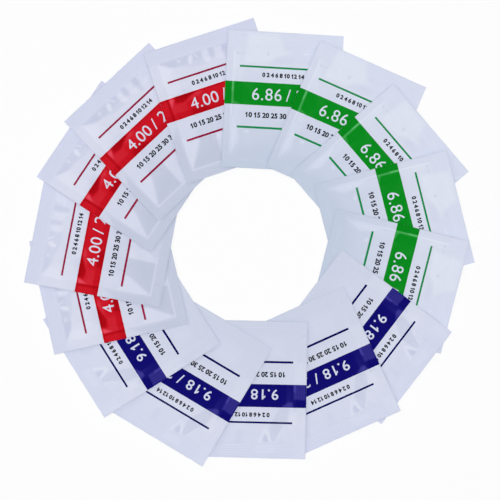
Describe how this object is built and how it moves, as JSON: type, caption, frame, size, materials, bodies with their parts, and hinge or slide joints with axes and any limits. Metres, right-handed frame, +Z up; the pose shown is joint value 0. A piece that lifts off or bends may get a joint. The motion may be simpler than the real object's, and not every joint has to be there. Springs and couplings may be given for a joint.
{
  "type": "ring of powder sachets",
  "caption": "Flat heat-sealed film sachets of calibration powder with red, green and blue number bands, laid overlapping in a ring; each can be drawn out of the ring.",
  "frame": {"origin": "on the table under the middle of the ring's outer box", "axes": "+Z up from the table, +Y to the top of the ring as the picture shows it, +X to its right"},
  "size_m": [0.2318, 0.231, 0.0079],
  "materials": {
    "red_printed_film": "satin",
    "green_printed_film": "satin",
    "blue_printed_film": "satin",
    "plain_film": "satin",
    "powder": "matte"
  },
  "bodies": {
    "green_1": {"green_1_front_film": "green_printed_film", "green_1_back_film": "plain_film", "green_1_powder": "powder"},
    "green_2": {"green_2_front_film": "green_printed_film", "green_2_back_film": "plain_film", "green_2_powder": "powder"},
    "green_3": {"green_3_front_film": "green_printed_film", "green_3_back_film": "plain_film", "green_3_powder": "powder"},
    "green_4": {"green_4_front_film": "green_printed_film", "green_4_back_film": "plain_film", "green_4_powder": "powder"},
    "green_5": {"green_5_front_film": "green_printed_film", "green_5_back_film": "plain_film", "green_5_powder": "powder"},
    "blue_1": {"blue_1_front_film": "blue_printed_film", "blue_1_back_film": "plain_film", "blue_1_powder": "powder"},
    "blue_2": {"blue_2_front_film": "blue_printed_film", "blue_2_back_film": "plain_film", "blue_2_powder": "powder"},
    "blue_3": {"blue_3_front_film": "blue_printed_film", "blue_3_back_film": "plain_film", "blue_3_powder": "powder"},
    "blue_4": {"blue_4_front_film": "blue_printed_film", "blue_4_back_film": "plain_film", "blue_4_powder": "powder"},
    "blue_5": {"blue_5_front_film": "blue_printed_film", "blue_5_back_film": "plain_film", "blue_5_powder": "powder"},
    "red_1": {"red_1_front_film": "red_printed_film", "red_1_back_film": "plain_film", "red_1_powder": "powder"},
    "red_2": {"red_2_front_film": "red_printed_film", "red_2_back_film": "plain_film", "red_2_powder": "powder"},
    "red_3": {"red_3_front_film": "red_printed_film", "red_3_back_film": "plain_film", "red_3_powder": "powder"},
    "red_4": {"red_4_front_film": "red_printed_film", "red_4_back_film": "plain_film", "red_4_powder": "powder"},
    "red_5": {"red_5_front_film": "red_printed_film", "red_5_back_film": "plain_film", "red_5_powder": "powder"}
  },
  "joints": [
    {"name": "green_2_draw_out", "type": "slide", "parent": "green_1", "child": "green_2", "axis": [0.3987, 0.9171, 0], "range_m": [0, 0.09]},
    {"name": "green_3_draw_out", "type": "slide", "parent": "green_1", "child": "green_3", "axis": [0.7547, 0.6561, 0], "range_m": [0, 0.09]},
    {"name": "green_4_draw_out", "type": "slide", "parent": "green_1", "child": "green_4", "axis": [0.9681, 0.2504, 0], "range_m": [0, 0.09]},
    {"name": "green_5_draw_out", "type": "slide", "parent": "green_1", "child": "green_5", "axis": [0.9703, -0.2419, 0], "range_m": [0, 0.09]},
    {"name": "blue_1_draw_out", "type": "slide", "parent": "green_1", "child": "blue_1", "axis": [0.7986, -0.6018, 0], "range_m": [0, 0.09]},
    {"name": "blue_2_draw_out", "type": "slide", "parent": "green_1", "child": "blue_2", "axis": [0.4147, -0.91, 0], "range_m": [0, 0.09]},
    {"name": "blue_3_draw_out", "type": "slide", "parent": "green_1", "child": "blue_3", "axis": [-0.0175, -0.9998, 0], "range_m": [0, 0.09]},
    {"name": "blue_4_draw_out", "type": "slide", "parent": "green_1", "child": "blue_4", "axis": [-0.5075, -0.8616, 0], "range_m": [0, 0.09]},
    {"name": "blue_5_draw_out", "type": "slide", "parent": "green_1", "child": "blue_5", "axis": [-0.8434, -0.5373, 0], "range_m": [0, 0.09]},
    {"name": "red_1_draw_out", "type": "slide", "parent": "green_1", "child": "red_1", "axis": [-0.9744, -0.225, 0], "range_m": [0, 0.09]},
    {"name": "red_2_draw_out", "type": "slide", "parent": "green_1", "child": "red_2", "axis": [-0.9833, 0.1822, 0], "range_m": [0, 0.09]},
    {"name": "red_3_draw_out", "type": "slide", "parent": "green_1", "child": "red_3", "axis": [-0.8339, 0.5519, 0], "range_m": [0, 0.09]},
    {"name": "red_4_draw_out", "type": "slide", "parent": "green_1", "child": "red_4", "axis": [-0.6884, 0.7254, 0], "range_m": [0, 0.09]},
    {"name": "red_5_draw_out", "type": "slide", "parent": "green_1", "child": "red_5", "axis": [-0.3173, 0.9483, 0], "range_m": [0, 0.09]}
  ]
}
